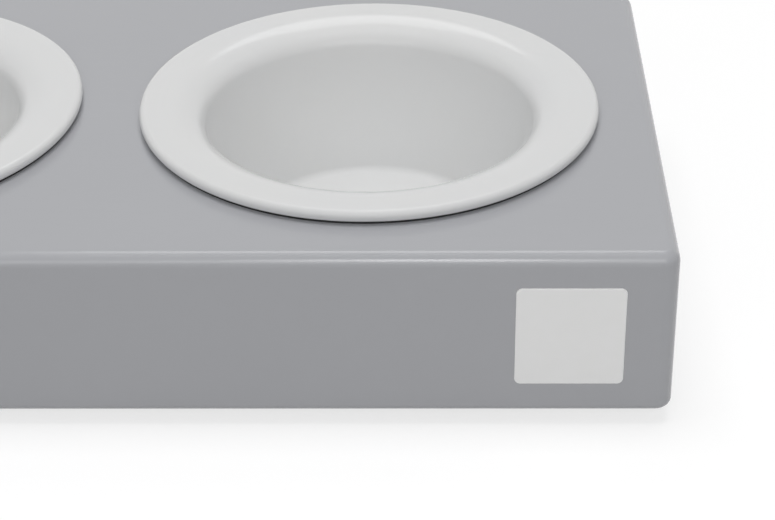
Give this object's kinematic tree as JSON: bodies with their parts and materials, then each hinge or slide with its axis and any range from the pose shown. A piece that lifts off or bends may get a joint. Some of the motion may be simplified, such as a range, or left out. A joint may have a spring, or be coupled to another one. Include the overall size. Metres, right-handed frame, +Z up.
{
  "type": "double pet bowl",
  "caption": "Low painted wooden stand with rounded edges, rubber feet and two round holes, each holding a lift-out glazed ceramic bowl by its wide flat brim.",
  "frame": {"origin": "middle of the footprint, on the floor under the feet", "axes": "+X along the stand's length to the right, +Y from front to back, +Z up"},
  "size_m": [0.38, 0.198, 0.0689],
  "materials": {
    "grey_paint": "satin paint on board",
    "bare_wood": "sawn",
    "dowel_wood": "fluted, dry",
    "zinc_steel": "zinc plated",
    "foot_rubber": "matt",
    "white_glaze": "glossy glaze",
    "ring_rubber": "matt"
  },
  "bodies": {
    "stand": {"top_board": "grey_paint", "front_rail": "grey_paint", "back_rail": "grey_paint", "left_rail": "grey_paint", "right_rail": "grey_paint", "cross_rail": "grey_paint", "front_left_block": "bare_wood", "front_right_block": "bare_wood", "back_left_block": "bare_wood", "back_right_block": "bare_wood", "rail_dowels": "dowel_wood", "cross_rail_dowels": "dowel_wood", "block_screws": "zinc_steel", "front_left_foot": "foot_rubber", "front_right_foot": "foot_rubber", "back_left_foot": "foot_rubber", "back_right_foot": "foot_rubber", "foot_screws": "zinc_steel", "foot_washers": "zinc_steel"},
    "left_bowl": {"left_bowl": "white_glaze", "left_seating_ring": "ring_rubber"},
    "right_bowl": {"right_bowl": "white_glaze", "right_seating_ring": "ring_rubber"}
  },
  "joints": [
    {"name": "left_bowl_lift", "type": "slide", "parent": "stand", "child": "left_bowl", "axis": [0, 0, 1], "range_m": [0, 0.09]},
    {"name": "right_bowl_lift", "type": "slide", "parent": "stand", "child": "right_bowl", "axis": [0, 0, 1], "range_m": [0, 0.09]}
  ]
}
